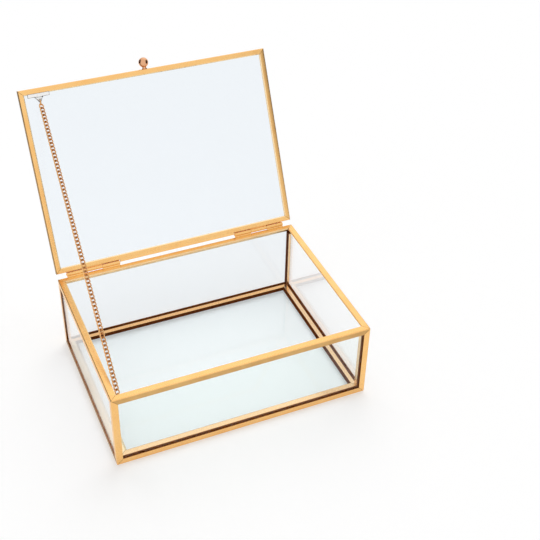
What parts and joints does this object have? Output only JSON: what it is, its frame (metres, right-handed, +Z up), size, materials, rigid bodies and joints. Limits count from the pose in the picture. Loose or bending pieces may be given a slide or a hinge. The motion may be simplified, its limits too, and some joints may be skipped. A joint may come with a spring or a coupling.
{
  "type": "hinged glass card box",
  "caption": "Shallow clear glass box in a brass angle frame, with a hinged glass lid that a small chain stops when open, and a ball knob on its front edge.",
  "frame": {"origin": "middle of the back bottom rail's underside, on the surface that the box stands on", "axes": "+Z up, +X to the right seen from the front, +Y from the front towards the hinges"},
  "size_m": [0.14, 0.1516, 0.1425],
  "materials": {
    "base_glass": "clear polished sheet",
    "lid_glass": "clear polished sheet",
    "frame_brass": "bright folded sheet, tarnished where it lies on the glass",
    "bead_brass": "bright soldered bead",
    "fitting_brass": "polished",
    "chain_brass": "polished wire"
  },
  "bodies": {
    "base": {"floor_glass": "base_glass", "front_glass": "base_glass", "back_glass": "base_glass", "left_glass": "base_glass", "right_glass": "base_glass", "bottom_rail_front": "frame_brass", "bottom_rail_back": "frame_brass", "bottom_rail_left": "frame_brass", "bottom_rail_right": "frame_brass", "top_rail_front": "frame_brass", "top_rail_back": "frame_brass", "top_rail_left": "frame_brass", "top_rail_right": "frame_brass", "corner_post_front_left": "frame_brass", "corner_post_front_right": "frame_brass", "corner_post_back_left": "frame_brass", "corner_post_back_right": "frame_brass", "floor_bead_front": "bead_brass", "floor_bead_back": "bead_brass", "floor_bead_left": "bead_brass", "floor_bead_right": "bead_brass", "rim_bead_front": "bead_brass", "rim_bead_back": "bead_brass", "rim_bead_left": "bead_brass", "rim_bead_right": "bead_brass", "corner_bead_front_left": "bead_brass", "corner_bead_front_right": "bead_brass", "corner_bead_back_left": "bead_brass", "corner_bead_back_right": "bead_brass", "chain_eye": "chain_brass", "hinge_leaf_base_left": "fitting_brass", "hinge_pin_left": "fitting_brass", "hinge_leaf_base_right": "fitting_brass", "hinge_pin_right": "fitting_brass"},
    "lid": {"lid_glass": "lid_glass", "lid_rail_front": "frame_brass", "lid_rail_back": "frame_brass", "lid_rail_left": "frame_brass", "lid_rail_right": "frame_brass", "knob": "fitting_brass", "chain_lug": "fitting_brass", "hinge_leaf_lid_left": "fitting_brass", "hinge_leaf_lid_right": "fitting_brass", "lug_ring": "chain_brass"},
    "chain_base_fall": {"chain_base_fall": "chain_brass"},
    "chain_base_run": {"chain_base_run": "chain_brass"},
    "chain_turn": {"chain_turn": "chain_brass"},
    "chain_lid_fall": {"chain_lid_fall": "chain_brass"},
    "chain_lid_run": {"chain_lid_run": "chain_brass"}
  },
  "joints": [
    {"name": "lid_hinge", "type": "hinge", "parent": "base", "child": "lid", "pos_m": [0, 0.003, 0.0463], "axis": [1, 0, 0], "range_deg": [0, 116.4]},
    {"name": "chain_base_fall_link", "type": "hinge", "parent": "base", "child": "chain_base_fall", "pos_m": [-0.0649, -0.09322, 0.04284], "axis": [0.9992, -0.0397, 0], "range_deg": [-120.1, 0]},
    {"name": "chain_base_run_link", "type": "hinge", "parent": "chain_base_fall", "child": "chain_base_run", "pos_m": [-0.06365, -0.06186, 0.06319], "axis": [0.9976, -0.0606, 0.0322], "range_deg": [0, 86.9]},
    {"name": "chain_turn_link", "type": "hinge", "parent": "chain_base_run", "child": "chain_turn", "pos_m": [-0.0622, -0.02528, 0.08694], "axis": [-0.0216, -0.5437, 0.839], "range_deg": [-65.2, 0]},
    {"name": "chain_lid_fall_link", "type": "hinge", "parent": "lid", "child": "chain_lid_fall", "pos_m": [-0.0595, 0.04266, 0.13103], "axis": [0.9992, -0.0397, 0], "range_deg": [-51.5, 0]},
    {"name": "chain_lid_run_link", "type": "hinge", "parent": "chain_lid_fall", "child": "chain_lid_run", "pos_m": [-0.06075, 0.0113, 0.11068], "axis": [0.9987, -0.0492, 0.0146], "range_deg": [0, 79.2]}
  ],
  "couplings": [
    {"joint": "chain_base_fall_link", "follows": "lid_hinge", "ratio": -1.0317},
    {"joint": "chain_base_run_link", "follows": "lid_hinge", "ratio": 0.74588},
    {"joint": "chain_turn_link", "follows": "lid_hinge", "ratio": -0.55973},
    {"joint": "chain_lid_fall_link", "follows": "lid_hinge", "ratio": -0.44217},
    {"joint": "chain_lid_run_link", "follows": "lid_hinge", "ratio": 0.68035}
  ]
}
